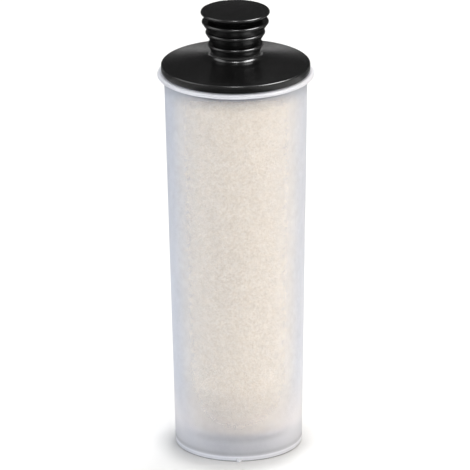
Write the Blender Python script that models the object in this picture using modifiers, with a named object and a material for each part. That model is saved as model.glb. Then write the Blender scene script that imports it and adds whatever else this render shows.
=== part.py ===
"""Descaling cartridge of a steam cleaner, standing upright on its foot.

A frosted cup holds a bed of softening granulate between two fleece discs. Water enters through the
slots in the cup's raised floor, rises through the bed, and runs back down the riser tube to the
outlet spigot under the floor. A black cap with a ribbed pull knob closes the mouth.

Units are metres, +Z is up, and the origin is the centre of the foot on the ground.
"""

import math

import bmesh
import bpy
from mathutils import Matrix

# Gap between two pieces that are made apart and touch on the real product
FIT = 0.0003

# Cup: a drafted wall from the foot up to the flange at the mouth
CUP_HEIGHT = 0.1511
FOOT_RADIUS = 0.02455
WALL_DRAFT = math.radians(1.1)
WALL = 0.0013
FLANGE_RADIUS = 0.0300
FLANGE_THICKNESS = 0.0015
FLANGE_TOP_ROUND = 0.0010
FLANGE_LOWER_ROUND = 0.0002
FLANGE_FILLET = 0.0004

# Foot: a rounded outer edge with a thicker bead on the inside, and a pointed mould nib at the front
FOOT_ROUND = 0.0008
FOOT_BEAD_WIDTH = 0.0022
FOOT_BEAD_HEIGHT = 0.0014
NIB_WIDTH = 0.0032
NIB_HEIGHT = 0.0018
NIB_TIP = 0.0006
NIB_REACH = 0.0012
NIB_BURIED = 0.0008
NIB_LIFT = 0.0002

# Floor: raised above the foot, with a ring of radial inlet slots
FLOOR_UNDERSIDE = 0.0075
FLOOR_THICKNESS = 0.0015
SLOT_COUNT = 12
SLOT_RING_RADIUS = 0.0142
SLOT_LENGTH = 0.0090
SLOT_WIDTH = 0.0014
SLOT_CUTTER_HEIGHT = 0.0045

# Outlet: a spigot with a seal under the floor, and a socket for the riser tube above it
OUTLET_BORE_RADIUS = 0.0030
SPIGOT_RADIUS = 0.0062
SPIGOT_END_HEIGHT = 0.0015
SPIGOT_CHAMFER = 0.0006
SEAL_CORD_RADIUS = 0.0010
SEAL_STANDOUT = 0.0006
SEAL_HEIGHT = 0.0050
SOCKET_WALL = 0.0012
SOCKET_HEIGHT = 0.0080

# Contents
FLEECE_THICKNESS = 0.0008
RISER_WALL = 0.0010
RISER_ABOVE_FLEECE = 0.0010

# Cap: a disc that rises as a shallow cone to the knob, with a plug ring that enters the cup
CAP_RADIUS = 0.02855
CAP_EDGE_HEIGHT = 0.0031
CAP_EDGE_ROUND = 0.0006
CAP_LOWER_ROUND = 0.0004
CAP_WALL = 0.0021
CROWN_RISE = 0.0028
PLUG_DEPTH = 0.0022
PLUG_WALL = 0.0016
PLUG_CHAMFER = 0.0005

# Knob: four grip ribs on a stem, the top one closed as a disc
KNOB_HEIGHT = 0.0183
STEM_RADIUS = 0.0095
STEM_FILLET = 0.0018
KNOB_WALL = 0.0022
RIB_THICKNESS = 0.0011
RIB_TOP_ROUND = 0.0007
RIB_LOWER_ROUND = 0.0003

# Each rib from the top down: its radius, how far its upper side lies below the knob's top, and
# the radius that its underside tapers in to at the next rib
RIBS = (
    (0.01322, 0.0, 0.0100),
    (0.01282, 0.0038, 0.0106),
    (0.01142, 0.0080, 0.0090),
    (0.01062, 0.0128, STEM_RADIUS),
)
LAST_TAPER_END = 0.0157

# Facets round a full turn
STEPS = 56
SMALL_STEPS = 40
SEAL_SECTION_STEPS = 10

# Points along a rounded edge: broad, medium and crisp
BROAD_ARC = 4
MEDIUM_ARC = 3
CRISP_ARC = 2


def wall_outside(height):
    """Outer radius of the cup's wall at a height above the ground."""
    return FOOT_RADIUS + height * math.tan(WALL_DRAFT)


def wall_inside(height):
    """Inner radius of the cup's wall at a height above the ground."""
    return wall_outside(height) - WALL


FLOOR_TOP = FLOOR_UNDERSIDE + FLOOR_THICKNESS
SOCKET_RADIUS = OUTLET_BORE_RADIUS + SOCKET_WALL
RISER_INSIDE = SOCKET_RADIUS + FIT
RISER_OUTSIDE = RISER_INSIDE + RISER_WALL
CAP_SEAT = CUP_HEIGHT + FIT
PLUG_END = CAP_SEAT - PLUG_DEPTH
TOP_FLEECE_TOP = PLUG_END - FIT
TOP_FLEECE_BASE = TOP_FLEECE_TOP - FLEECE_THICKNESS
BOTTOM_FLEECE_BASE = FLOOR_TOP + FIT
BOTTOM_FLEECE_TOP = BOTTOM_FLEECE_BASE + FLEECE_THICKNESS
SEAL_GROOVE_RADIUS = SPIGOT_RADIUS + SEAL_STANDOUT - 2 * SEAL_CORD_RADIUS - FIT
CAP_RIM_TOP = CAP_SEAT + CAP_EDGE_HEIGHT
CROWN_TOP = CAP_RIM_TOP + CROWN_RISE
KNOB_TOP = CROWN_TOP + KNOB_HEIGHT


def arc(centre_r, centre_z, radius, start, end, count):
    """Points of an arc in the profile plane, from one angle to another in degrees."""
    points = []
    for index in range(count):
        angle = math.radians(start + (end - start) * index / (count - 1))
        points.append((centre_r + radius * math.cos(angle), centre_z + radius * math.sin(angle)))
    return points


def clear_scene():
    for item in list(bpy.data.objects):
        bpy.data.objects.remove(item, do_unlink=True)


def new_collection(name):
    collection = bpy.data.collections.new(name)
    bpy.context.scene.collection.children.link(collection)
    return collection


def plastic(name, colour, roughness, alpha=1.0):
    """A Principled material with one colour."""
    material = bpy.data.materials.new(name)
    material.use_nodes = True
    shader = material.node_tree.nodes["Principled BSDF"]
    shader.inputs["Base Color"].default_value = (*colour, 1.0)
    shader.inputs["Roughness"].default_value = roughness
    shader.inputs["Metallic"].default_value = 0.0
    shader.inputs["Alpha"].default_value = alpha
    return material


def turned(name, profile, closed, steps, material, collection):
    """A solid of revolution from a profile that runs down its outer side at +X."""
    mesh = bpy.data.meshes.new(name)
    edges = [(index, index + 1) for index in range(len(profile) - 1)]
    if closed:
        edges.append((len(profile) - 1, 0))
    mesh.from_pydata([(radius, 0.0, height) for radius, height in profile], edges, [])
    mesh.materials.append(material)
    piece = bpy.data.objects.new(name, mesh)
    collection.objects.link(piece)
    screw = piece.modifiers.new("turn", "SCREW")
    screw.axis = "Z"
    screw.angle = math.tau
    screw.steps = steps
    screw.render_steps = steps
    screw.use_merge_vertices = True
    screw.merge_threshold = 0.00001
    screw.use_smooth_shade = True
    return piece


def box_group(name, boxes, collection):
    """One mesh of separate boxes, each given as its placing matrix with its size in it."""
    mesh = bpy.data.meshes.new(name)
    shape = bmesh.new()
    for matrix in boxes:
        bmesh.ops.create_cube(shape, size=1.0, matrix=matrix)
    shape.to_mesh(mesh)
    shape.free()
    group = bpy.data.objects.new(name, mesh)
    group.hide_render = True
    group.display_type = "WIRE"
    collection.objects.link(group)
    return group


def combine(piece, tool, operation):
    boolean = piece.modifiers.new(tool.name, "BOOLEAN")
    boolean.operation = operation
    boolean.solver = "EXACT"
    boolean.object = tool


def flange_profile():
    """Down the flange's rounded rim, its underside and the fillet into the wall."""
    underside = CUP_HEIGHT - FLANGE_THICKNESS
    fillet_radius = wall_outside(underside) + FLANGE_FILLET
    rim = FLANGE_RADIUS - FLANGE_TOP_ROUND
    lower = FLANGE_RADIUS - FLANGE_LOWER_ROUND
    points = arc(rim, CUP_HEIGHT - FLANGE_TOP_ROUND, FLANGE_TOP_ROUND, 90, 0, BROAD_ARC)
    points += arc(lower, underside + FLANGE_LOWER_ROUND, FLANGE_LOWER_ROUND, 0, -90, CRISP_ARC)
    points += arc(fillet_radius, underside - FLANGE_FILLET, FLANGE_FILLET, 90, 180, MEDIUM_ARC)
    return points


def foot_profile():
    """Round the foot's outer edge, across it, and up the bead and skirt to the floor."""
    bead = FOOT_RADIUS - FOOT_BEAD_WIDTH
    bead_slope = FOOT_BEAD_HEIGHT + FOOT_BEAD_WIDTH - WALL
    edge = wall_outside(FOOT_ROUND) - FOOT_ROUND
    points = arc(edge, FOOT_ROUND, FOOT_ROUND, 0, -90, BROAD_ARC)
    points.append((bead, 0.0))
    points.append((bead, FOOT_BEAD_HEIGHT))
    points.append((wall_inside(bead_slope), bead_slope))
    points.append((wall_inside(FLOOR_UNDERSIDE), FLOOR_UNDERSIDE))
    return points


def spigot_profile():
    """Down the spigot's outside past the seal groove, and in to the bore."""
    half_groove = SEAL_CORD_RADIUS + FIT
    return [
        (SPIGOT_RADIUS, FLOOR_UNDERSIDE),
        (SPIGOT_RADIUS, SEAL_HEIGHT + half_groove),
        (SEAL_GROOVE_RADIUS, SEAL_HEIGHT + half_groove),
        (SEAL_GROOVE_RADIUS, SEAL_HEIGHT - half_groove),
        (SPIGOT_RADIUS, SEAL_HEIGHT - half_groove),
        (SPIGOT_RADIUS, SPIGOT_END_HEIGHT + SPIGOT_CHAMFER),
        (SPIGOT_RADIUS - SPIGOT_CHAMFER, SPIGOT_END_HEIGHT),
        (OUTLET_BORE_RADIUS, SPIGOT_END_HEIGHT),
    ]


def slot_cutter(collection):
    boxes = []
    size = Matrix.Diagonal((SLOT_LENGTH, SLOT_WIDTH, SLOT_CUTTER_HEIGHT, 1.0))
    shift = Matrix.Translation((SLOT_RING_RADIUS, 0.0, FLOOR_UNDERSIDE + FLOOR_THICKNESS / 2))
    for index in range(SLOT_COUNT):
        turn = Matrix.Rotation(math.tau * index / SLOT_COUNT, 4, "Z")
        boxes.append(turn @ shift @ size)
    return box_group("inlet_slots", boxes, collection)


def foot_nib(collection):
    """A small wedge on the front of the foot, wide at the wall and narrow at its tip."""
    nib = box_group("foot_nib", [Matrix.Identity(4)], collection)
    for vertex in nib.data.vertices:
        width, height, reach = NIB_WIDTH, NIB_HEIGHT, -NIB_BURIED
        if vertex.co.y < 0:
            width, height, reach = NIB_TIP, NIB_TIP, NIB_REACH
        side = vertex.co.x * width
        lift = NIB_LIFT + (vertex.co.z + 0.5) * height
        vertex.co = (side, -FOOT_RADIUS - reach, lift)
    return nib


def make_cup(collection, cutters):
    socket_top = FLOOR_TOP + SOCKET_HEIGHT
    profile = flange_profile()
    profile += foot_profile()
    profile += spigot_profile()
    profile.append((OUTLET_BORE_RADIUS, socket_top))
    profile.append((SOCKET_RADIUS, socket_top))
    profile.append((SOCKET_RADIUS, FLOOR_TOP))
    profile.append((wall_inside(FLOOR_TOP), FLOOR_TOP))
    profile.append((wall_inside(CUP_HEIGHT), CUP_HEIGHT))
    material = plastic("frosted_plastic", (0.80, 0.83, 0.88), 0.45, 0.45)
    cup = turned("cartridge_cup", profile, True, STEPS, material, collection)
    combine(cup, slot_cutter(cutters), "DIFFERENCE")
    combine(cup, foot_nib(cutters), "UNION")
    return cup


def make_outlet_seal(collection):
    """The seal ring in the spigot's groove."""
    centre = SEAL_GROOVE_RADIUS + FIT + SEAL_CORD_RADIUS
    profile = arc(centre, SEAL_HEIGHT, SEAL_CORD_RADIUS, 90, -270, SEAL_SECTION_STEPS + 1)
    material = plastic("seal_rubber", (0.02, 0.02, 0.02), 0.6)
    return turned("outlet_seal", profile[:-1], True, SMALL_STEPS, material, collection)


def make_riser(collection):
    """The tube that carries the softened water from above the bed down to the spigot."""
    base = BOTTOM_FLEECE_BASE
    top = TOP_FLEECE_TOP + RISER_ABOVE_FLEECE
    profile = [(RISER_OUTSIDE, top), (RISER_OUTSIDE, base), (RISER_INSIDE, base), (RISER_INSIDE, top)]
    material = plastic("riser_plastic", (0.85, 0.86, 0.88), 0.4)
    return turned("riser_tube", profile, True, SMALL_STEPS, material, collection)


def ring_between(name, base, top, steps, material, collection):
    """A filling of the cup between two heights, with a hole for the riser tube."""
    inner = RISER_OUTSIDE + FIT
    profile = [
        (wall_inside(top) - FIT, top),
        (wall_inside(base) - FIT, base),
        (inner, base),
        (inner, top),
    ]
    return turned(name, profile, True, steps, material, collection)


def make_contents(collection):
    fleece = plastic("filter_fleece", (0.90, 0.90, 0.88), 0.9)
    granulate = plastic("softening_granulate", (0.80, 0.68, 0.52), 0.75)
    bed_base = BOTTOM_FLEECE_TOP + FIT
    bed_top = TOP_FLEECE_BASE - FIT
    ring_between("bottom_fleece", BOTTOM_FLEECE_BASE, BOTTOM_FLEECE_TOP, STEPS, fleece, collection)
    ring_between("granulate_bed", bed_base, bed_top, STEPS, granulate, collection)
    ring_between("top_fleece", TOP_FLEECE_BASE, TOP_FLEECE_TOP, STEPS, fleece, collection)


def rib_profile(radius, top):
    """Round a rib's upper edge, down its rim and round its lower edge."""
    base = top - RIB_THICKNESS
    points = arc(radius - RIB_TOP_ROUND, top - RIB_TOP_ROUND, RIB_TOP_ROUND, 90, 0, BROAD_ARC)
    points += arc(radius - RIB_LOWER_ROUND, base + RIB_LOWER_ROUND, RIB_LOWER_ROUND, 0, -60, CRISP_ARC)
    return points


def knob_profile():
    """From the middle of the knob's top down its ribs to the foot of the stem."""
    points = [(0.0, KNOB_TOP)]
    taper_ends = [depth for _, depth, _ in RIBS[1:]] + [LAST_TAPER_END]
    for (radius, depth, root), taper_end in zip(RIBS, taper_ends):
        points += rib_profile(radius, KNOB_TOP - depth)
        points.append((root, KNOB_TOP - taper_end))
    return points


def crown_slope():
    """Fall of the crown's cone in radians, from the stem's foot to the rim."""
    return math.atan2(CROWN_RISE, CAP_RADIUS - CAP_EDGE_ROUND - STEM_RADIUS - STEM_FILLET)


def disc_profile():
    """Round the stem's foot, down the cone, over the rim and in to the plug ring."""
    tilt = math.degrees(crown_slope())
    rim = CAP_RADIUS - CAP_EDGE_ROUND
    lower = CAP_RADIUS - CAP_LOWER_ROUND
    foot_lift = STEM_FILLET * math.cos(crown_slope())
    points = arc(STEM_RADIUS + STEM_FILLET, CROWN_TOP + foot_lift, STEM_FILLET, 180, 270 - tilt, BROAD_ARC)
    points += arc(rim, CAP_RIM_TOP - CAP_EDGE_ROUND, CAP_EDGE_ROUND, 90 - tilt, 0, BROAD_ARC)
    points += arc(lower, CAP_SEAT + CAP_LOWER_ROUND, CAP_LOWER_ROUND, 0, -90, MEDIUM_ARC)
    return points


def underside_profile():
    """Down the plug ring, and up the cored underside into the hollow knob."""
    seat_radius = wall_inside(CAP_SEAT) - FIT
    plug_radius = wall_inside(PLUG_END) - FIT
    plug_bore = plug_radius - PLUG_WALL
    core = STEM_RADIUS - KNOB_WALL
    core_top = KNOB_TOP - KNOB_WALL
    crown_under = CROWN_TOP - CAP_WALL
    fall = math.tan(crown_slope())
    bore_under = crown_under - (plug_bore - STEM_RADIUS - STEM_FILLET) * fall
    core_under = crown_under + (STEM_RADIUS + STEM_FILLET - core) * fall
    return [
        (seat_radius, CAP_SEAT),
        (plug_radius, PLUG_END + PLUG_CHAMFER),
        (plug_radius - PLUG_CHAMFER, PLUG_END),
        (plug_bore, PLUG_END),
        (plug_bore, bore_under),
        (core, core_under),
        (core, core_top),
        (0.0, core_top),
    ]


def make_cap(collection):
    profile = knob_profile() + disc_profile() + underside_profile()
    material = plastic("black_plastic", (0.012, 0.012, 0.013), 0.35)
    return turned("cap", profile, False, STEPS, material, collection)


def main():
    clear_scene()
    parts = new_collection("descaling_cartridge")
    cutters = new_collection("cutters")
    make_cup(parts, cutters)
    make_outlet_seal(parts)
    make_riser(parts)
    make_contents(parts)
    make_cap(parts)


main()
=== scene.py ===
import math

import bmesh
import bpy
from mathutils import Matrix, Vector, noise


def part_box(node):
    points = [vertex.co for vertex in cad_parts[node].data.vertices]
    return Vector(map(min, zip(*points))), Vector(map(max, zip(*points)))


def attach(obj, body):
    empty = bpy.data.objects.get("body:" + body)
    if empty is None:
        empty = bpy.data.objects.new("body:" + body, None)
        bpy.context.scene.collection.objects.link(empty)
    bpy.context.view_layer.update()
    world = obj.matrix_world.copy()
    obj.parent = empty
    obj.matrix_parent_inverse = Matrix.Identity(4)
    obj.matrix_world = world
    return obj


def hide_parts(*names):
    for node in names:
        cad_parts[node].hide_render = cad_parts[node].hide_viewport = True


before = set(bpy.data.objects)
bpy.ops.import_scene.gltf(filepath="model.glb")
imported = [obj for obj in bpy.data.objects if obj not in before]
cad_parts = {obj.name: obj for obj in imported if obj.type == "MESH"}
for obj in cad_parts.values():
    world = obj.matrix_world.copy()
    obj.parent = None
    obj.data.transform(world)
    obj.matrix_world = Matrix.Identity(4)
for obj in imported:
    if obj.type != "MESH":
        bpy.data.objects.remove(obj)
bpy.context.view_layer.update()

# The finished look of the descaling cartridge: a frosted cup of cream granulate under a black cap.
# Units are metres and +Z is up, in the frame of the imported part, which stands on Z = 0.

# Sizes read from the frame
FLANGE_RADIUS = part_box("cartridge_cup")[1].x
CUP_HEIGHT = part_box("cartridge_cup")[1].z
CAP_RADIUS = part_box("cap")[1].x
PLUG_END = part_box("cap")[0].z
KNOB_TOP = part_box("cap")[1].z
RISER_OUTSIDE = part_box("riser_tube")[1].x
RISER_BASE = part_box("riser_tube")[0].z
RISER_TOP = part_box("riser_tube")[1].z
BED_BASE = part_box("granulate_bed")[0].z
BED_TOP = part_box("granulate_bed")[1].z
BOTTOM_FLEECE = (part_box("bottom_fleece")[0].z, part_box("bottom_fleece")[1].z)
TOP_FLEECE = (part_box("top_fleece")[0].z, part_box("top_fleece")[1].z)
SEAL_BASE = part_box("outlet_seal")[0].z
SEAL_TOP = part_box("outlet_seal")[1].z
SEAL_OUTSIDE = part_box("outlet_seal")[1].x

# Gap between pieces that fit together
FIT = 0.0003

# Cup: its wall, its flange, and its foot with the bead inside it. The flange and the foot's round
# are a little finer than on the solid.
FOOT_RADIUS = 0.02455
WALL_DRAFT = math.radians(1.1)
WALL = 0.0013
FLANGE_THICKNESS = 0.0013
FLANGE_TOP_ROUND = 0.0010
FLANGE_LOWER_ROUND = 0.0002
FLANGE_FILLET = 0.0004
FOOT_ROUND = 0.0005
FOOT_BEAD_WIDTH = 0.0022
FOOT_BEAD_HEIGHT = 0.0014

# Mould nib at the front of the foot, with a tip a little finer than on the solid
NIB_WIDTH = 0.0032
NIB_HEIGHT = 0.0018
NIB_TIP = 0.0004
NIB_REACH = 0.0012
NIB_BURIED = 0.0008
NIB_LIFT = 0.0002

# Floor with its inlet slots
FLOOR_UNDERSIDE = 0.0075
FLOOR_THICKNESS = 0.0015
SLOT_COUNT = 12
SLOT_RING_RADIUS = 0.0142
SLOT_LENGTH = 0.0090
SLOT_WIDTH = 0.0014
SLOT_CUTTER_HEIGHT = 0.0045

# Outlet spigot under the floor, and the socket over it that holds the riser tube
OUTLET_BORE_RADIUS = 0.0030
SPIGOT_RADIUS = 0.0062
SPIGOT_END_HEIGHT = 0.0015
SPIGOT_CHAMFER = 0.0006
SOCKET_WALL = 0.0012
SOCKET_HEIGHT = 0.0080
RISER_WALL = 0.0010

# Cap: a disc that rises as a shallow cone to the knob, with a plug ring that enters the cup
CAP_EDGE_HEIGHT = 0.0031
CAP_EDGE_ROUND = 0.0006
CAP_LOWER_ROUND = 0.0004
CAP_WALL = 0.0021
CROWN_RISE = 0.0028
PLUG_WALL = 0.0016
PLUG_CHAMFER = 0.0005

# Knob: four grip ribs on a stem, the top one closed as a disc
STEM_RADIUS = 0.0095
STEM_FILLET = 0.0018
KNOB_WALL = 0.0022
RIB_THICKNESS = 0.0011
RIB_TOP_ROUND = 0.0007
RIB_LOWER_ROUND = 0.0003

# Each rib from the top down: its radius, how far its upper side lies below the knob's top, and
# the radius that its underside tapers in to at the next rib
RIBS = (
    (0.01322, 0.0, 0.0100),
    (0.01282, 0.0038, 0.0106),
    (0.01142, 0.0080, 0.0090),
    (0.01062, 0.0128, STEM_RADIUS),
)
LAST_TAPER_END = 0.0157

# Worked out from the sizes above
FLANGE_UNDERSIDE = CUP_HEIGHT - FLANGE_THICKNESS
WALL_TOP = FLANGE_UNDERSIDE - FLANGE_FILLET
FLOOR_TOP = FLOOR_UNDERSIDE + FLOOR_THICKNESS
SOCKET_RADIUS = OUTLET_BORE_RADIUS + SOCKET_WALL
SOCKET_TOP = FLOOR_TOP + SOCKET_HEIGHT
RISER_HOLE_RADIUS = RISER_OUTSIDE + FIT
CAP_SEAT = CUP_HEIGHT + FIT
CAP_RIM_TOP = CAP_SEAT + CAP_EDGE_HEIGHT
CROWN_TOP = CAP_RIM_TOP + CROWN_RISE
SEAL_CORD_RADIUS = (SEAL_TOP - SEAL_BASE) / 2
SEAL_HEIGHT = (SEAL_TOP + SEAL_BASE) / 2
SEAL_GROOVE_RADIUS = SEAL_OUTSIDE - 2 * SEAL_CORD_RADIUS - FIT

# Granulate and fleeces: their relief, and the gap between the beads and the wall
BEAD_PITCH = 0.0011
BEAD_SPREAD = 0.6
BEAD_RELIEF = 0.00016
BED_GAP = 0.0002
FLEECE_ROUND = 0.00035
FLEECE_RELIEF = 0.00008
FLEECE_PITCH = 0.0009

# Facets: round a full turn, along an arc, and in the rows of a surface
STEPS = 160
BED_STEPS = 256
ARC_POINTS = 7
FLANGE_LOWER_POINTS = 4
SMALL_ARC_POINTS = 5
RIB_TOP_POINTS = 10
SEAL_POINTS = 25
WALL_ROWS = 26
BED_ROWS = 210
FLEECE_RINGS = 12

# A point nearer to the axis than this lies on it
ON_AXIS = 1e-7

# Turn in degrees above which an edge stays sharp, on hard mouldings and on soft pieces
MOULDING_EDGE = 35
SOFT_EDGE = 60

# Frosted wall, up the cup: how clear it is; its painted light and shade, which paints a dark
# contact shadow at the foot's base, painted highlight lines and a painted dark line on the foot's
# bead band, painted light over the hollow foot and the granulate's lower edge, and a painted shadow
# under the flange; and its tint, which loses some blue towards the foot
WALL_CLEARNESS = (
    (0.0, 0.08), (0.0020, 0.08), (0.0025, 0.34), (0.0070, 0.40), (0.0102, 0.60), (0.0130, 0.71),
    (0.0170, 0.78), (0.0220, 0.83), (0.0300, 0.88), (0.1430, 0.88), (0.1465, 0.80), (0.1482, 0.65),
    (0.1496, 0.40),
)
WALL_PAINTED_LIGHT_AND_SHADE = (
    (0.0, 0.06), (0.0003, 0.40), (0.0006, 1.38), (0.0010, 1.36), (0.0013, 1.22), (0.0016, 1.50),
    (0.0021, 1.50), (0.0024, 0.86), (0.0030, 0.86), (0.0042, 1.04), (0.0085, 1.13), (0.0105, 1.17),
    (0.0125, 1.17), (0.0170, 1.12), (0.0240, 1.02), (0.0400, 1.0), (0.1420, 0.98), (0.1465, 0.80),
    (0.1480, 0.70), (0.1490, 0.50), (0.1496, 0.30),
)
WALL_TINT = (
    (0.0, (1.0, 0.955, 0.905)),
    (0.0130, (1.0, 0.945, 0.885)),
    (0.0300, (1.0, 1.0, 1.0)),
)

# Frosted flange and nib, each alike all the way up
EDGE_CLEARNESS = ((0.0, 0.20), (CUP_HEIGHT, 0.20))
NIB_CLEARNESS = ((0.0, 0.15), (CUP_HEIGHT, 0.15))
EVEN = ((0.0, 1.0), (CUP_HEIGHT, 1.0))

# Places of the cup's three finishes in its list of materials, and how far out of the wall a face
# of the nib lies at least
WALL_FINISH = 0
EDGE_FINISH = 1
NIB_FINISH = 2
NIB_START = NIB_REACH / 10

# Frosting: the noises' scales in cells a metre, how far they shift the clearness, and the gloss.
# A bump is given by its height and its strength, here and below.
FROST_CLOUD_SCALE = 90.0
FROST_CLOUD_STRETCH = (1.0, 1.0, 0.35)
FROST_PATCH_SCALE = 420.0
FROST_GRAIN_SCALE = 2600.0
FROST_UNEVEN = 0.06
FROST_PATCHES = 0.035
FROST_ROUGHNESS = (0.40, 0.52)
FROST_IOR = 1.49
FROST_SPECULAR = 0.4
FROST_BUMP = (0.00002, 0.3)

# How the frosted wall passes light. It faces the eye by SLANT_START head on and by a little more
# than 0 at its limb, and the path through it is that to the power of -SLANT_POWER. A share of the
# light that it scatters comes from its far side.
SLANT_START = 1.02
SLANT_POWER = 2.5
FAR_SIDE_GLOW = 0.35
CLEAR_COLOUR = (0.98, 0.98, 0.985, 1.0)

# Black moulding, with the noises' scales in cells a metre
BLACK_CLOUD_SCALE = 160.0
BLACK_GRAIN_SCALE = 3200.0
BLACK_ROUGHNESS = (0.20, 0.28)
BLACK_IOR = 1.48
BLACK_BUMP = (0.00001, 0.25)

# Granulate, fleeces and inner mouldings: the grains' pitch, and the noises' scales in cells a
# metre
GRAIN_PITCH = 0.0006
GRAIN_ROUGHNESS = 0.6
GRAIN_BUMP = (0.00025, 0.7)
FIBRE_SCALE = 1800.0
FIBRE_ROUGHNESS = 0.9
FIBRE_SHEEN = 0.2
FIBRE_BUMP = (0.0002, 0.6)
INNER_CLOUD_SCALE = 300.0
RISER_ROUGHNESS = (0.35, 0.45)
SEAL_ROUGHNESS = (0.55, 0.65)

# Colours, each from its dark tone to its light one, and for the grains with each tone's place
WALL_TONES = ((0.60, 0.64, 0.73), (0.63, 0.665, 0.745))
EDGE_TONES = ((0.77, 0.775, 0.82), (0.80, 0.805, 0.84))
NIB_TONES = ((0.76, 0.77, 0.82), (0.80, 0.805, 0.84))
BLACK_TONES = ((0.0028, 0.0028, 0.0029), (0.0042, 0.0042, 0.0043))
# The fleece's tones are painted shade: darker and greyer than white fleece, so its lit edge sinks
# into the shade below the granulate
FLEECE_PAINTED_SHADE_TONES = ((0.60, 0.54, 0.49), (0.72, 0.66, 0.60))
RISER_TONES = ((0.78, 0.80, 0.82), (0.86, 0.87, 0.89))
SEAL_TONES = ((0.015, 0.015, 0.015), (0.03, 0.03, 0.03))
GRAIN_TONES = ((0.0, (0.80, 0.68, 0.525)), (0.5, (0.90, 0.79, 0.64)), (1.0, (0.95, 0.86, 0.725)))

# The values of a noise at which the dark tone ends and the light one begins
DARK_END = 0.3
LIGHT_START = 0.7

# Ceiling light: where its middle stands, and its brightness by the angle from there in degrees
CEILING_AZIMUTH = 60
CEILING_ELEVATION = 86
CEILING_POWER = 0.60
CEILING_FALLOFF = ((180, 0.074), (88, 0.074), (70, 0.104), (53, 0.178), (43, 0.50), (34, 1.0))

# Haze low along the room's walls: its brightness by the rise of a direction
HAZE_POWER = 1.05
HAZE_FALLOFF = ((0.0, 1.0), (0.04, 1.0), (0.09, 0.0))

WHITE = (1.0, 1.0, 1.0)

# Soft lamps, which stay out of the sheen: azimuth, elevation and spread in degrees, power, colour
SOFT_LAMPS = (
    ("right_wash", 42, 9, 48, 2.7, (1.0, 0.98, 0.945)),
    ("right_edge", 94, 10, 50, 0.85, (1.0, 0.81, 0.52)),
    ("left_wash", -57, 9, 50, 2.25, (0.935, 0.965, 0.99)),
    ("rear_wash", 180, 8, 60, 1.8, (1.0, 0.99, 0.97)),
    ("back_light", 156, 60, 34, 1.05, WHITE),
    ("top_light", 180, 89, 4, 1.1, WHITE),
)
LAMP_DISTANCE = 2.0

# Soft boxes, which show in the sheen alone: azimuth, elevation and spread in degrees, and power
SOFT_BOXES = (
    ("right_box", 76, 45, 38, 8.6),
    ("front_box", -1, 64, 14, 1.9),
    ("left_box", -86, 36, 46, 1.7),
)

# Cards on the floor, which show in the sheen alone: the near left and the far right corner, and
# the grey
GREY_CARDS = (
    ("front_card", (-0.33, -0.75), (0.27, -0.12), 0.08),
    ("left_card", (-0.75, -0.75), (-0.33, 0.20), 0.40),
    ("back_card", (-8.0, 0.20), (8.0, 16.0), 0.10),
)
CARD_HEIGHT = 0.002

# Floor of the studio
FLOOR_GREY = 0.80
FLOOR_RADIUS = 25.0
FLOOR_SEGMENTS = 96

# Camera: a long lens that looks down on the front, and how far it sees
IMAGE_WIDTH = 470
FOCAL_PIXELS = 6744.0
SENSOR_WIDTH = 36.0
CAMERA_DISTANCE = 2.6
CAMERA_PITCH = math.radians(20.17)
CAMERA_ROLL = math.radians(0.5)
CAMERA_REACH = 100.0
AIM_HEIGHT = 0.0843
AXIS_OFFSET_PIXELS = 2.08


def wall_outside(height):
    """Outer radius of the cup's wall at a height above the ground."""
    return FOOT_RADIUS + height * math.tan(WALL_DRAFT)


def wall_inside(height):
    """Inner radius of the cup's wall at a height above the ground."""
    return wall_outside(height) - WALL


def arc(centre_r, centre_z, radius, start, end, count=ARC_POINTS):
    """Points of an arc in the profile plane, from one angle to another in degrees."""
    points = []
    for index in range(count):
        angle = math.radians(start + (end - start) * index / (count - 1))
        points.append((centre_r + radius * math.cos(angle), centre_z + radius * math.sin(angle)))
    return points


def line(start, end, count):
    """Evenly spaced points from start to end, both included."""
    points = []
    for index in range(count):
        share = index / (count - 1)
        radius = start[0] + (end[0] - start[0]) * share
        height = start[1] + (end[1] - start[1]) * share
        points.append((radius, height))
    return points


def linked(name, mesh):
    """A new object of the mesh, put in the scene."""
    piece = bpy.data.objects.new(name, mesh)
    bpy.context.scene.collection.objects.link(piece)
    return piece


def meshed(name, shape):
    """A mesh of the BMesh, which is freed."""
    mesh = bpy.data.meshes.new(name)
    shape.to_mesh(mesh)
    shape.free()
    return mesh


def ring_of_points(shape, radius, height, steps):
    """The points that a profile point passes in a full turn, or a single one on the axis."""
    if radius < ON_AXIS:
        return [shape.verts.new((0.0, 0.0, height))]
    ring = []
    for index in range(steps):
        angle = math.tau * index / steps
        place = (radius * math.cos(angle), radius * math.sin(angle), height)
        ring.append(shape.verts.new(place))
    return ring


def join_rings(shape, upper, lower, steps):
    """Faces between two rings, either of which may be a single point."""
    for index in range(steps):
        after = (index + 1) % steps
        corners = [upper[index % len(upper)], lower[index % len(lower)]]
        corners += [lower[after % len(lower)], upper[after % len(upper)]]
        corners = list(dict.fromkeys(corners))
        if len(corners) > 2:
            shape.faces.new(corners)


def revolve(name, profile, steps=STEPS, closed=True):
    """An object turned about Z from a profile that runs down its outer side."""
    shape = bmesh.new()
    rings = []
    for radius, height in profile:
        rings.append(ring_of_points(shape, radius, height, steps))
    pairs = list(zip(rings, rings[1:]))
    if closed:
        pairs.append((rings[-1], rings[0]))
    for upper, lower in pairs:
        join_rings(shape, upper, lower, steps)
    return linked(name, meshed(name, shape))


def smooth(piece, angle):
    """Smooth shading with sharp edges where the surface turns by more than the angle in degrees."""
    piece.data.shade_smooth()
    piece.data.set_sharp_from_angle(angle=math.radians(angle))


def box_group(name, boxes):
    """One object of separate boxes, each given as its placing matrix with its size in it."""
    shape = bmesh.new()
    for matrix in boxes:
        bmesh.ops.create_cube(shape, size=1.0, matrix=matrix)
    return linked(name, meshed(name, shape))


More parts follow.
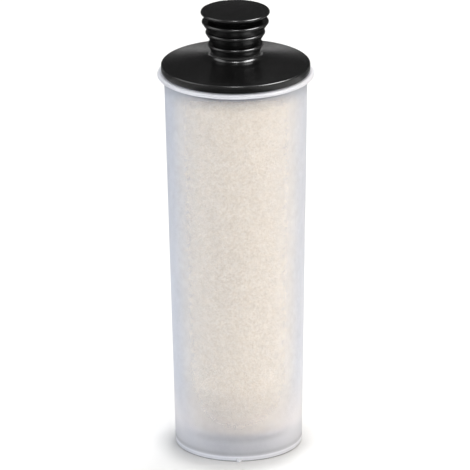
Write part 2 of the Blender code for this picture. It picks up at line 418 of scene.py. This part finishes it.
def combine(piece, tool, operation):
    """Applies a Boolean to the piece and removes the tool."""
    boolean = piece.modifiers.new(tool.name, "BOOLEAN")
    boolean.operation = operation
    boolean.solver = "EXACT"
    boolean.object = tool
    graph = bpy.context.evaluated_depsgraph_get()
    mesh = bpy.data.meshes.new_from_object(piece.evaluated_get(graph))
    piece.modifiers.clear()
    piece.data = mesh
    bpy.data.objects.remove(tool, do_unlink=True)


def new_material(name):
    """A material with an empty node tree, and that tree's output node."""
    material = bpy.data.materials.new(name)
    material.use_nodes = True
    material.node_tree.nodes.clear()
    output = material.node_tree.nodes.new("ShaderNodeOutputMaterial")
    return material, material.node_tree, output


def object_place(tree):
    """The socket that gives a point's place on its piece, in metres."""
    return tree.nodes.new("ShaderNodeTexCoord").outputs["Object"]


def noise_node(tree, scale, detail, stretch=(1.0, 1.0, 1.0)):
    """A noise texture over the piece, with its scale in cells a metre."""
    mapping = tree.nodes.new("ShaderNodeMapping")
    mapping.inputs["Scale"].default_value = stretch
    texture = tree.nodes.new("ShaderNodeTexNoise")
    texture.inputs["Scale"].default_value = scale
    texture.inputs["Detail"].default_value = detail
    tree.links.new(object_place(tree), mapping.inputs["Vector"])
    tree.links.new(mapping.outputs["Vector"], texture.inputs["Vector"])
    return texture.outputs["Fac"]


def ramp(tree, source, stops):
    """A colour ramp from stops, each a place with a grey or a colour."""
    node = tree.nodes.new("ShaderNodeValToRGB")
    elements = node.color_ramp.elements
    while len(elements) < len(stops):
        elements.new(0.5)
    for element, (place, value) in zip(elements, stops):
        colour = value if isinstance(value, tuple) else (value, value, value)
        element.position = place
        element.color = (*colour, 1.0)
    tree.links.new(source, node.inputs["Fac"])
    return node.outputs["Color"]


def between_tones(tree, source, tones):
    """A colour that goes from the dark tone to the light one as a noise rises."""
    dark, light = tones
    return ramp(tree, source, [(DARK_END, dark), (LIGHT_START, light)])


def value_range(tree, source, low, high):
    """The source, mapped from 0 to 1 onto low to high."""
    node = tree.nodes.new("ShaderNodeMapRange")
    node.inputs["To Min"].default_value = low
    node.inputs["To Max"].default_value = high
    tree.links.new(source, node.inputs["Value"])
    return node.outputs["Result"]


def bump(tree, source, distance, strength):
    """The surface's direction, tilted by the source as if it stood out by the distance."""
    node = tree.nodes.new("ShaderNodeBump")
    node.inputs["Distance"].default_value = distance
    node.inputs["Strength"].default_value = strength
    tree.links.new(source, node.inputs["Height"])
    return node.outputs["Normal"]


def feed(tree, value, socket):
    """Gives a socket a plain number or another node's output."""
    if isinstance(value, (int, float)):
        socket.default_value = value
    else:
        tree.links.new(value, socket)


def math_node(tree, operation, first, second):
    """A Math node whose inputs are sockets or plain numbers."""
    node = tree.nodes.new("ShaderNodeMath")
    node.operation = operation
    feed(tree, first, node.inputs[0])
    feed(tree, second, node.inputs[1])
    return node.outputs["Value"]


def mixed(tree, share, first, second):
    """Two shaders mixed, with the share that the second one has."""
    node = tree.nodes.new("ShaderNodeMixShader")
    feed(tree, share, node.inputs["Fac"])
    tree.links.new(first, node.inputs[1])
    tree.links.new(second, node.inputs[2])
    return node.outputs["Shader"]


def by_height(tree, stops):
    """A ramp up the piece, from stops of a height with a grey or a colour."""
    low, high = stops[0][0], stops[-1][0]
    split = tree.nodes.new("ShaderNodeSeparateXYZ")
    tree.links.new(object_place(tree), split.inputs["Vector"])
    span = tree.nodes.new("ShaderNodeMapRange")
    span.inputs["From Min"].default_value = low
    span.inputs["From Max"].default_value = high
    tree.links.new(split.outputs["Z"], span.inputs["Value"])
    places = [((height - low) / (high - low), value) for height, value in stops]
    return ramp(tree, span.outputs["Result"], places)


def tinted(tree, colour, tint):
    """The colour multiplied by a grey or a second colour."""
    node = tree.nodes.new("ShaderNodeMix")
    node.data_type = "RGBA"
    node.blend_type = "MULTIPLY"
    node.inputs["Factor"].default_value = 1.0
    tree.links.new(colour, node.inputs["A"])
    tree.links.new(tint, node.inputs["B"])
    return node.outputs["Result"]


def frosted_body(tree, colour, cloud, grain):
    """The plastic that scatters light, from its lit side and some from its far side."""
    skin = tree.nodes.new("ShaderNodeBsdfPrincipled")
    skin.inputs["IOR"].default_value = FROST_IOR
    skin.inputs["Specular IOR Level"].default_value = FROST_SPECULAR
    tree.links.new(colour, skin.inputs["Base Color"])
    tree.links.new(value_range(tree, cloud, *FROST_ROUGHNESS), skin.inputs["Roughness"])
    tree.links.new(bump(tree, grain, *FROST_BUMP), skin.inputs["Normal"])
    through = tree.nodes.new("ShaderNodeBsdfTranslucent")
    tree.links.new(colour, through.inputs["Color"])
    return mixed(tree, FAR_SIDE_GLOW, skin.outputs["BSDF"], through.outputs["BSDF"])


def passed_share(tree, clearness, grain):
    """The share of light that passes straight, which falls as the path grows at a slant."""
    unevenness = value_range(tree, grain, -FROST_UNEVEN, FROST_UNEVEN)
    patch_noise = noise_node(tree, FROST_PATCH_SCALE, detail=2.0)
    patches = value_range(tree, patch_noise, -FROST_PATCHES, FROST_PATCHES)
    clear_share = math_node(tree, "ADD", by_height(tree, clearness), unevenness)
    clear_share = math_node(tree, "ADD", clear_share, patches)
    slant = tree.nodes.new("ShaderNodeLayerWeight")
    slant.inputs["Blend"].default_value = 0.5
    upright = math_node(tree, "SUBTRACT", SLANT_START, slant.outputs["Facing"])
    path = math_node(tree, "POWER", upright, -SLANT_POWER)
    return math_node(tree, "POWER", clear_share, path)


def frosted_plastic(name, tones, clearness, shade=EVEN, tint=EVEN):
    """Natural polypropylene: part of the light passes straight, and the rest is scattered.

    The scattered light takes a cloudy colour between the tones, with painted shade and painted
    light and a tint up the cup. The clearness gives, up the cup, the share that passes a surface
    met head on.
    """
    material, tree, output = new_material(name)
    cloud = noise_node(tree, FROST_CLOUD_SCALE, detail=3.0, stretch=FROST_CLOUD_STRETCH)
    grain = noise_node(tree, FROST_GRAIN_SCALE, detail=2.0)
    colour = between_tones(tree, cloud, tones)
    # Painted shade and painted light up the cup, multiplied into the colour
    colour = tinted(tree, colour, by_height(tree, shade))
    colour = tinted(tree, colour, by_height(tree, tint))
    body = frosted_body(tree, colour, cloud, grain)
    clear = tree.nodes.new("ShaderNodeBsdfTransparent")
    clear.inputs["Color"].default_value = CLEAR_COLOUR
    whole = mixed(tree, passed_share(tree, clearness, grain), body, clear.outputs["BSDF"])
    tree.links.new(whole, output.inputs["Surface"])
    return material


def black_plastic():
    """Satin black moulding with a fine uneven sheen."""
    material, tree, output = new_material("satin_black_plastic")
    cloud = noise_node(tree, BLACK_CLOUD_SCALE, detail=4.0)
    grain = noise_node(tree, BLACK_GRAIN_SCALE, detail=2.0)
    skin = tree.nodes.new("ShaderNodeBsdfPrincipled")
    skin.inputs["IOR"].default_value = BLACK_IOR
    tree.links.new(between_tones(tree, cloud, BLACK_TONES), skin.inputs["Base Color"])
    tree.links.new(value_range(tree, cloud, *BLACK_ROUGHNESS), skin.inputs["Roughness"])
    tree.links.new(bump(tree, grain, *BLACK_BUMP), skin.inputs["Normal"])
    tree.links.new(skin.outputs["BSDF"], output.inputs["Surface"])
    return material


def granulate():
    """Cream resin beads, each in its own shade."""
    material, tree, output = new_material("cream_granulate")
    cells = tree.nodes.new("ShaderNodeTexVoronoi")
    cells.inputs["Scale"].default_value = 1 / GRAIN_PITCH
    tree.links.new(object_place(tree), cells.inputs["Vector"])
    shade = tree.nodes.new("ShaderNodeSeparateColor")
    tree.links.new(cells.outputs["Color"], shade.inputs["Color"])
    skin = tree.nodes.new("ShaderNodeBsdfPrincipled")
    skin.inputs["Roughness"].default_value = GRAIN_ROUGHNESS
    tree.links.new(ramp(tree, shade.outputs["Red"], GRAIN_TONES), skin.inputs["Base Color"])
    tree.links.new(bump(tree, cells.outputs["Distance"], *GRAIN_BUMP), skin.inputs["Normal"])
    tree.links.new(skin.outputs["BSDF"], output.inputs["Surface"])
    return material


def fleece():
    """White non-woven fibres, coloured darker and greyer as painted shade."""
    material, tree, output = new_material("white_fleece")
    fibres = noise_node(tree, FIBRE_SCALE, detail=5.0)
    skin = tree.nodes.new("ShaderNodeBsdfPrincipled")
    skin.inputs["Roughness"].default_value = FIBRE_ROUGHNESS
    skin.inputs["Sheen Weight"].default_value = FIBRE_SHEEN
    tree.links.new(between_tones(tree, fibres, FLEECE_PAINTED_SHADE_TONES), skin.inputs["Base Color"])
    tree.links.new(bump(tree, fibres, *FIBRE_BUMP), skin.inputs["Normal"])
    tree.links.new(skin.outputs["BSDF"], output.inputs["Surface"])
    return material


def plain_moulding(name, tones, roughness):
    """An inner moulding with a faint cloud in its colour and sheen."""
    material, tree, output = new_material(name)
    cloud = noise_node(tree, INNER_CLOUD_SCALE, detail=3.0)
    skin = tree.nodes.new("ShaderNodeBsdfPrincipled")
    tree.links.new(between_tones(tree, cloud, tones), skin.inputs["Base Color"])
    tree.links.new(value_range(tree, cloud, *roughness), skin.inputs["Roughness"])
    tree.links.new(skin.outputs["BSDF"], output.inputs["Surface"])
    return material


def flange_profile():
    """Down the flange's rounded rim, its underside and the fillet into the wall."""
    rim = FLANGE_RADIUS - FLANGE_TOP_ROUND
    rim_height = CUP_HEIGHT - FLANGE_TOP_ROUND
    lower = FLANGE_RADIUS - FLANGE_LOWER_ROUND
    lower_height = FLANGE_UNDERSIDE + FLANGE_LOWER_ROUND
    fillet = wall_outside(FLANGE_UNDERSIDE) + FLANGE_FILLET
    points = arc(rim, rim_height, FLANGE_TOP_ROUND, 90, 0)
    points += arc(lower, lower_height, FLANGE_LOWER_ROUND, 0, -90, FLANGE_LOWER_POINTS)
    points += arc(fillet, WALL_TOP, FLANGE_FILLET, 90, 180, SMALL_ARC_POINTS)
    return points


def foot_profile():
    """Round the foot's outer edge, across it, and up the bead and skirt to the floor."""
    bead = FOOT_RADIUS - FOOT_BEAD_WIDTH
    bead_slope = FOOT_BEAD_HEIGHT + FOOT_BEAD_WIDTH - WALL
    edge = wall_outside(FOOT_ROUND) - FOOT_ROUND
    points = arc(edge, FOOT_ROUND, FOOT_ROUND, 0, -90)
    points.append((bead, 0.0))
    points.append((bead, FOOT_BEAD_HEIGHT))
    points.append((wall_inside(bead_slope), bead_slope))
    points.append((wall_inside(FLOOR_UNDERSIDE), FLOOR_UNDERSIDE))
    return points


def spigot_profile():
    """Down the spigot's outside past the seal groove, and in to the bore."""
    half_groove = SEAL_CORD_RADIUS + FIT
    return [
        (SPIGOT_RADIUS, FLOOR_UNDERSIDE),
        (SPIGOT_RADIUS, SEAL_HEIGHT + half_groove),
        (SEAL_GROOVE_RADIUS, SEAL_HEIGHT + half_groove),
        (SEAL_GROOVE_RADIUS, SEAL_HEIGHT - half_groove),
        (SPIGOT_RADIUS, SEAL_HEIGHT - half_groove),
        (SPIGOT_RADIUS, SPIGOT_END_HEIGHT + SPIGOT_CHAMFER),
        (SPIGOT_RADIUS - SPIGOT_CHAMFER, SPIGOT_END_HEIGHT),
        (OUTLET_BORE_RADIUS, SPIGOT_END_HEIGHT),
    ]


def cup_profile():
    """All round the cup's section: down its outside, under its floor and back up its inside."""
    profile = flange_profile()
    outside_top = (wall_outside(WALL_TOP), WALL_TOP)
    outside_foot = (wall_outside(FOOT_ROUND), FOOT_ROUND)
    profile += line(outside_top, outside_foot, WALL_ROWS)[1:-1]
    profile += foot_profile()
    profile += spigot_profile()
    profile.append((OUTLET_BORE_RADIUS, SOCKET_TOP))
    profile.append((SOCKET_RADIUS, SOCKET_TOP))
    profile.append((SOCKET_RADIUS, FLOOR_TOP))
    inside_foot = (wall_inside(FLOOR_TOP), FLOOR_TOP)
    inside_top = (wall_inside(CUP_HEIGHT), CUP_HEIGHT)
    profile += line(inside_foot, inside_top, WALL_ROWS)
    return profile


def slot_cutter():
    """Boxes that cut the ring of radial inlet slots through the floor."""
    boxes = []
    size = Matrix.Diagonal((SLOT_LENGTH, SLOT_WIDTH, SLOT_CUTTER_HEIGHT, 1.0))
    shift = Matrix.Translation((SLOT_RING_RADIUS, 0.0, FLOOR_UNDERSIDE + FLOOR_THICKNESS / 2))
    for index in range(SLOT_COUNT):
        turn = Matrix.Rotation(math.tau * index / SLOT_COUNT, 4, "Z")
        boxes.append(turn @ shift @ size)
    return box_group("slot_cutter", boxes)


def foot_nib():
    """A small wedge on the front of the foot, wide at the wall and narrow at its tip."""
    nib = box_group("nib", [Matrix.Identity(4)])
    for vertex in nib.data.vertices:
        width, height, reach = NIB_WIDTH, NIB_HEIGHT, -NIB_BURIED
        if vertex.co.y < 0:
            width, height, reach = NIB_TIP, NIB_TIP, NIB_REACH
        side = vertex.co.x * width
        lift = NIB_LIFT + (vertex.co.z + 0.5) * height
        vertex.co = (side, -FOOT_RADIUS - reach, lift)
    return nib


def finish_cup(mesh):
    """Frosts the cup, with its flange and nib denser than its wall."""
    # The wall's colour carries painted shade and painted light up the cup
    wall = frosted_plastic("frosted_wall", WALL_TONES, WALL_CLEARNESS, WALL_PAINTED_LIGHT_AND_SHADE, WALL_TINT)
    edge = frosted_plastic("frosted_edge", EDGE_TONES, EDGE_CLEARNESS)
    nib = frosted_plastic("frosted_nib", NIB_TONES, NIB_CLEARNESS)
    mesh.materials.clear()
    for material in (wall, edge, nib):
        mesh.materials.append(material)
    for face in mesh.polygons:
        radius = math.hypot(face.center.x, face.center.y)
        if face.center.z > WALL_TOP:
            face.material_index = EDGE_FINISH
        elif radius > wall_outside(face.center.z) + NIB_START:
            face.material_index = NIB_FINISH
        else:
            face.material_index = WALL_FINISH


def make_cup():
    """The cup in one moulding with its floor, slots, spigot, socket and nib."""
    cup = revolve("cup_shell", cup_profile())
    combine(cup, slot_cutter(), "DIFFERENCE")
    combine(cup, foot_nib(), "UNION")
    finish_cup(cup.data)
    smooth(cup, MOULDING_EDGE)
    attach(cup, "root")
    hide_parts("cartridge_cup")


def rib_profile(radius, top):
    """Round a rib's upper edge, down its rim and round its lower edge."""
    upper = radius - RIB_TOP_ROUND
    lower = radius - RIB_LOWER_ROUND
    base = top - RIB_THICKNESS
    points = arc(upper, top - RIB_TOP_ROUND, RIB_TOP_ROUND, 90, 0, RIB_TOP_POINTS)
    points += arc(lower, base + RIB_LOWER_ROUND, RIB_LOWER_ROUND, 0, -60, SMALL_ARC_POINTS)
    return points


def knob_profile():
    """From the middle of the knob's top down its ribs to the foot of the stem."""
    points = [(0.0, KNOB_TOP)]
    taper_ends = [depth for _, depth, _ in RIBS[1:]] + [LAST_TAPER_END]
    for (radius, depth, root), taper_end in zip(RIBS, taper_ends):
        points += rib_profile(radius, KNOB_TOP - depth)
        points.append((root, KNOB_TOP - taper_end))
    return points


def crown_slope():
    """Fall of the crown's cone in radians, from the stem's foot to the rim."""
    return math.atan2(CROWN_RISE, CAP_RADIUS - CAP_EDGE_ROUND - STEM_RADIUS - STEM_FILLET)


def disc_profile():
    """Round the stem's foot, down the cone, over the rim and in to the plug ring."""
    tilt = math.degrees(crown_slope())
    foot = STEM_RADIUS + STEM_FILLET
    foot_height = CROWN_TOP + STEM_FILLET * math.cos(crown_slope())
    rim = CAP_RADIUS - CAP_EDGE_ROUND
    lower = CAP_RADIUS - CAP_LOWER_ROUND
    lower_height = CAP_SEAT + CAP_LOWER_ROUND
    points = arc(foot, foot_height, STEM_FILLET, 180, 270 - tilt)
    points += arc(rim, CAP_RIM_TOP - CAP_EDGE_ROUND, CAP_EDGE_ROUND, 90 - tilt, 0)
    points += arc(lower, lower_height, CAP_LOWER_ROUND, 0, -90, SMALL_ARC_POINTS)
    return points


def underside_profile():
    """Down the plug ring, and up the cored underside into the hollow knob."""
    seat_radius = wall_inside(CAP_SEAT) - FIT
    plug_radius = wall_inside(PLUG_END) - FIT
    plug_bore = plug_radius - PLUG_WALL
    core = STEM_RADIUS - KNOB_WALL
    core_top = KNOB_TOP - KNOB_WALL
    crown_under = CROWN_TOP - CAP_WALL
    fall = math.tan(crown_slope())
    bore_under = crown_under - (plug_bore - STEM_RADIUS - STEM_FILLET) * fall
    core_under = crown_under + (STEM_RADIUS + STEM_FILLET - core) * fall
    return [
        (seat_radius, CAP_SEAT),
        (plug_radius, PLUG_END + PLUG_CHAMFER),
        (plug_radius - PLUG_CHAMFER, PLUG_END),
        (plug_bore, PLUG_END),
        (plug_bore, bore_under),
        (core, core_under),
        (core, core_top),
        (0.0, core_top),
    ]


def make_cap():
    """The black cap in one moulding with its plug ring and its ribbed, cored knob."""
    profile = knob_profile() + disc_profile() + underside_profile()
    cap = revolve("cap_moulding", profile, closed=False)
    cap.data.materials.append(black_plastic())
    smooth(cap, MOULDING_EDGE)
    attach(cap, "root")
    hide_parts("cap")


def bead_relief(place):
    """How far the beads stand out at a place, from 0 between them to 1 on a crest."""
    distances, _ = noise.voronoi(place / BEAD_PITCH)
    return max(0.0, 1.0 - (distances[0] / BEAD_SPREAD) ** 2)


def bed_profile():
    """Down the granulate's outside in fine rows, and up the hole for the riser tube."""
    outside_top = (wall_inside(BED_TOP) - BED_GAP - BEAD_RELIEF, BED_TOP)
    outside_base = (wall_inside(BED_BASE) - BED_GAP - BEAD_RELIEF, BED_BASE)
    profile = line(outside_top, outside_base, BED_ROWS)
    profile.append((RISER_HOLE_RADIUS, BED_BASE))
    profile.append((RISER_HOLE_RADIUS, BED_TOP))
    return profile


def make_bed():
    """The granulate, with its beads pressed against the cup's wall."""
    bed = revolve("granulate", bed_profile(), steps=BED_STEPS)
    for vertex in bed.data.vertices:
        outward = Vector((vertex.co.x, vertex.co.y, 0.0))
        if outward.length > 2 * RISER_HOLE_RADIUS:
            vertex.co += outward.normalized() * BEAD_RELIEF * bead_relief(vertex.co)
    bed.data.materials.append(granulate())
    smooth(bed, SOFT_EDGE)
    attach(bed, "root")
    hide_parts("granulate_bed")


def fleece_profile(base, top):
    """Out along a fleece's upper side, round its edge and back along its underside."""
    edge = wall_inside(base) - FIT - FLEECE_ROUND
    profile = line((RISER_HOLE_RADIUS, top), (edge, top), FLEECE_RINGS)[:-1]
    profile += arc(edge, top - FLEECE_ROUND, FLEECE_ROUND, 90, 0)
    profile += arc(edge, base + FLEECE_ROUND, FLEECE_ROUND, 0, -90)
    profile += line((edge, base), (RISER_HOLE_RADIUS, base), FLEECE_RINGS)[1:]
    return profile


def make_fleece(name, node, heights, material):
    """A soft round-edged disc with a hole for the riser tube."""
    base, top = heights
    middle = Vector((0.0, 0.0, (base + top) / 2))
    disc = revolve(name, fleece_profile(base, top))
    for vertex in disc.data.vertices:
        inset = FLEECE_RELIEF * (0.5 + 0.5 * noise.noise(vertex.co / FLEECE_PITCH))
        vertex.co -= (vertex.co - middle).normalized() * inset
    disc.data.materials.append(material)
    smooth(disc, SOFT_EDGE)
    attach(disc, "root")
    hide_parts(node)


def make_riser():
    """The tube that brings the softened water down from above the granulate."""
    inner = RISER_OUTSIDE - RISER_WALL
    profile = [
        (RISER_OUTSIDE, RISER_TOP),
        (RISER_OUTSIDE, RISER_BASE),
        (inner, RISER_BASE),
        (inner, RISER_TOP),
    ]
    riser = revolve("riser", profile)
    riser.data.materials.append(plain_moulding("riser_moulding", RISER_TONES, RISER_ROUGHNESS))
    smooth(riser, MOULDING_EDGE)
    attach(riser, "root")
    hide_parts("riser_tube")


def make_seal():
    """The seal ring in the spigot's groove."""
    centre = SEAL_OUTSIDE - SEAL_CORD_RADIUS
    profile = arc(centre, SEAL_HEIGHT, SEAL_CORD_RADIUS, 90, -270, SEAL_POINTS)[:-1]
    seal = revolve("seal_ring", profile)
    seal.data.materials.append(plain_moulding("seal_rubber_black", SEAL_TONES, SEAL_ROUGHNESS))
    smooth(seal, SOFT_EDGE)
    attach(seal, "root")
    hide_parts("outlet_seal")


def stage_piece(name, grey, shape):
    """A plain matt object of the studio, from its BMesh."""
    material, tree, output = new_material(name)
    skin = tree.nodes.new("ShaderNodeBsdfDiffuse")
    skin.inputs["Color"].default_value = (grey, grey, grey, 1.0)
    tree.links.new(skin.outputs["BSDF"], output.inputs["Surface"])
    mesh = meshed(name, shape)
    mesh.materials.append(material)
    piece = linked(name, mesh)
    return piece


def make_floor():
    """The studio's pale floor."""
    shape = bmesh.new()
    bmesh.ops.create_circle(shape, cap_ends=True, segments=FLOOR_SEGMENTS, radius=FLOOR_RADIUS)
    stage_piece("floor", FLOOR_GREY, shape)


def grey_card(name, near_left, far_right, grey):
    """A card laid on the floor that only shows in the sheen of the mouldings."""
    left, near = near_left
    right, far = far_right
    place = Matrix.Translation(((left + right) / 2, (near + far) / 2, CARD_HEIGHT))
    size = Matrix.Diagonal((right - left, far - near, 1.0, 1.0))
    shape = bmesh.new()
    bmesh.ops.create_grid(shape, size=0.5, matrix=place @ size)
    card = stage_piece(name, grey, shape)
    card.visible_camera = False
    card.visible_diffuse = False
    card.visible_transmission = False
    card.visible_volume_scatter = False
    card.visible_shadow = False


def heading(azimuth, elevation):
    """A direction. Azimuth 0 stands over the camera and 90 to its right."""
    a, e = math.radians(azimuth), math.radians(elevation)
    return Vector((math.sin(a) * math.cos(e), -math.cos(a) * math.cos(e), math.sin(e)))


def ceiling_light(tree, direction):
    """The ceiling light's brightness in a direction, by the angle from its middle."""
    nearness = tree.nodes.new("ShaderNodeVectorMath")
    nearness.operation = "DOT_PRODUCT"
    nearness.inputs[1].default_value = heading(CEILING_AZIMUTH, CEILING_ELEVATION)
    tree.links.new(direction, nearness.inputs[0])
    raised = math_node(tree, "ADD", nearness.outputs["Value"], 1.0)
    stops = []
    for angle, share in CEILING_FALLOFF:
        stops.append(((1 + math.cos(math.radians(angle))) / 2, share))
    return ramp(tree, math_node(tree, "MULTIPLY", raised, 0.5), stops)


def haze_light(tree, direction):
    """The haze's brightness in a direction, by its rise."""
    split = tree.nodes.new("ShaderNodeSeparateXYZ")
    tree.links.new(direction, split.inputs["Vector"])
    return ramp(tree, split.outputs["Z"], HAZE_FALLOFF)


def make_sky():
    """A dim room under a broad soft ceiling light, with a pale haze low along its walls."""
    world = bpy.data.worlds.new("studio")
    bpy.context.scene.world = world
    world.use_nodes = True
    tree = world.node_tree
    direction = tree.nodes.new("ShaderNodeTexCoord").outputs["Generated"]
    ceiling = tree.nodes["Background"]
    ceiling.inputs["Strength"].default_value = CEILING_POWER
    tree.links.new(ceiling_light(tree, direction), ceiling.inputs["Color"])
    haze = tree.nodes.new("ShaderNodeBackground")
    haze.inputs["Strength"].default_value = HAZE_POWER
    tree.links.new(haze_light(tree, direction), haze.inputs["Color"])
    both = tree.nodes.new("ShaderNodeAddShader")
    tree.links.new(ceiling.outputs["Background"], both.inputs[0])
    tree.links.new(haze.outputs["Background"], both.inputs[1])
    tree.links.new(both.outputs["Shader"], tree.nodes["World Output"].inputs["Surface"])


def soft_lamp(name, azimuth, elevation, spread, power, colour):
    """A distant soft lamp, which is left out of the mouldings' sheen."""
    lamp = bpy.data.lights.new(name, "SUN")
    lamp.energy = power
    lamp.angle = math.radians(spread)
    lamp.color = colour
    holder = linked(name, lamp)
    towards = heading(azimuth, elevation)
    holder.location = towards * LAMP_DISTANCE
    holder.rotation_mode = "QUATERNION"
    holder.rotation_quaternion = towards.to_track_quat("Z", "Y")
    holder.visible_glossy = False
    return holder


def soft_box(name, azimuth, elevation, spread, power):
    """A distant soft box, which shows in the mouldings' sheen alone."""
    box = soft_lamp(name, azimuth, elevation, spread, power, WHITE)
    box.visible_glossy = True
    box.visible_diffuse = False
    box.visible_transmission = False


def make_lights():
    """The room's light, the lamps and the soft boxes, and the cards that shape the sheen."""
    make_sky()
    for settings in SOFT_LAMPS:
        soft_lamp(*settings)
    for settings in SOFT_BOXES:
        soft_box(*settings)
    for settings in GREY_CARDS:
        grey_card(*settings)


def make_camera():
    """The camera in front of the cartridge, a little rolled and aimed a little to its left."""
    data = bpy.data.cameras.new("camera")
    data.sensor_width = SENSOR_WIDTH
    data.lens = FOCAL_PIXELS * SENSOR_WIDTH / IMAGE_WIDTH
    data.clip_end = CAMERA_REACH
    camera = linked("camera", data)
    back = Vector((0.0, -math.cos(CAMERA_PITCH), math.sin(CAMERA_PITCH)))
    camera.location = Vector((0.0, 0.0, AIM_HEIGHT)) + back * CAMERA_DISTANCE
    aside = AXIS_OFFSET_PIXELS / FOCAL_PIXELS * CAMERA_DISTANCE
    aim = Vector((-aside, 0.0, AIM_HEIGHT))
    level = (camera.location - aim).to_track_quat("Z", "Y").to_matrix().to_4x4()
    roll = Matrix.Rotation(-CAMERA_ROLL, 4, "Z")
    camera.matrix_world = Matrix.Translation(camera.location) @ level @ roll
    bpy.context.scene.camera = camera


bpy.context.scene.view_settings.view_transform = "Standard"
make_camera()
make_cup()
make_cap()
make_bed()
fibre = fleece()
make_fleece("bottom_filter", "bottom_fleece", BOTTOM_FLEECE, fibre)
make_fleece("top_filter", "top_fleece", TOP_FLEECE, fibre)
make_riser()
make_seal()
make_floor()
make_lights()
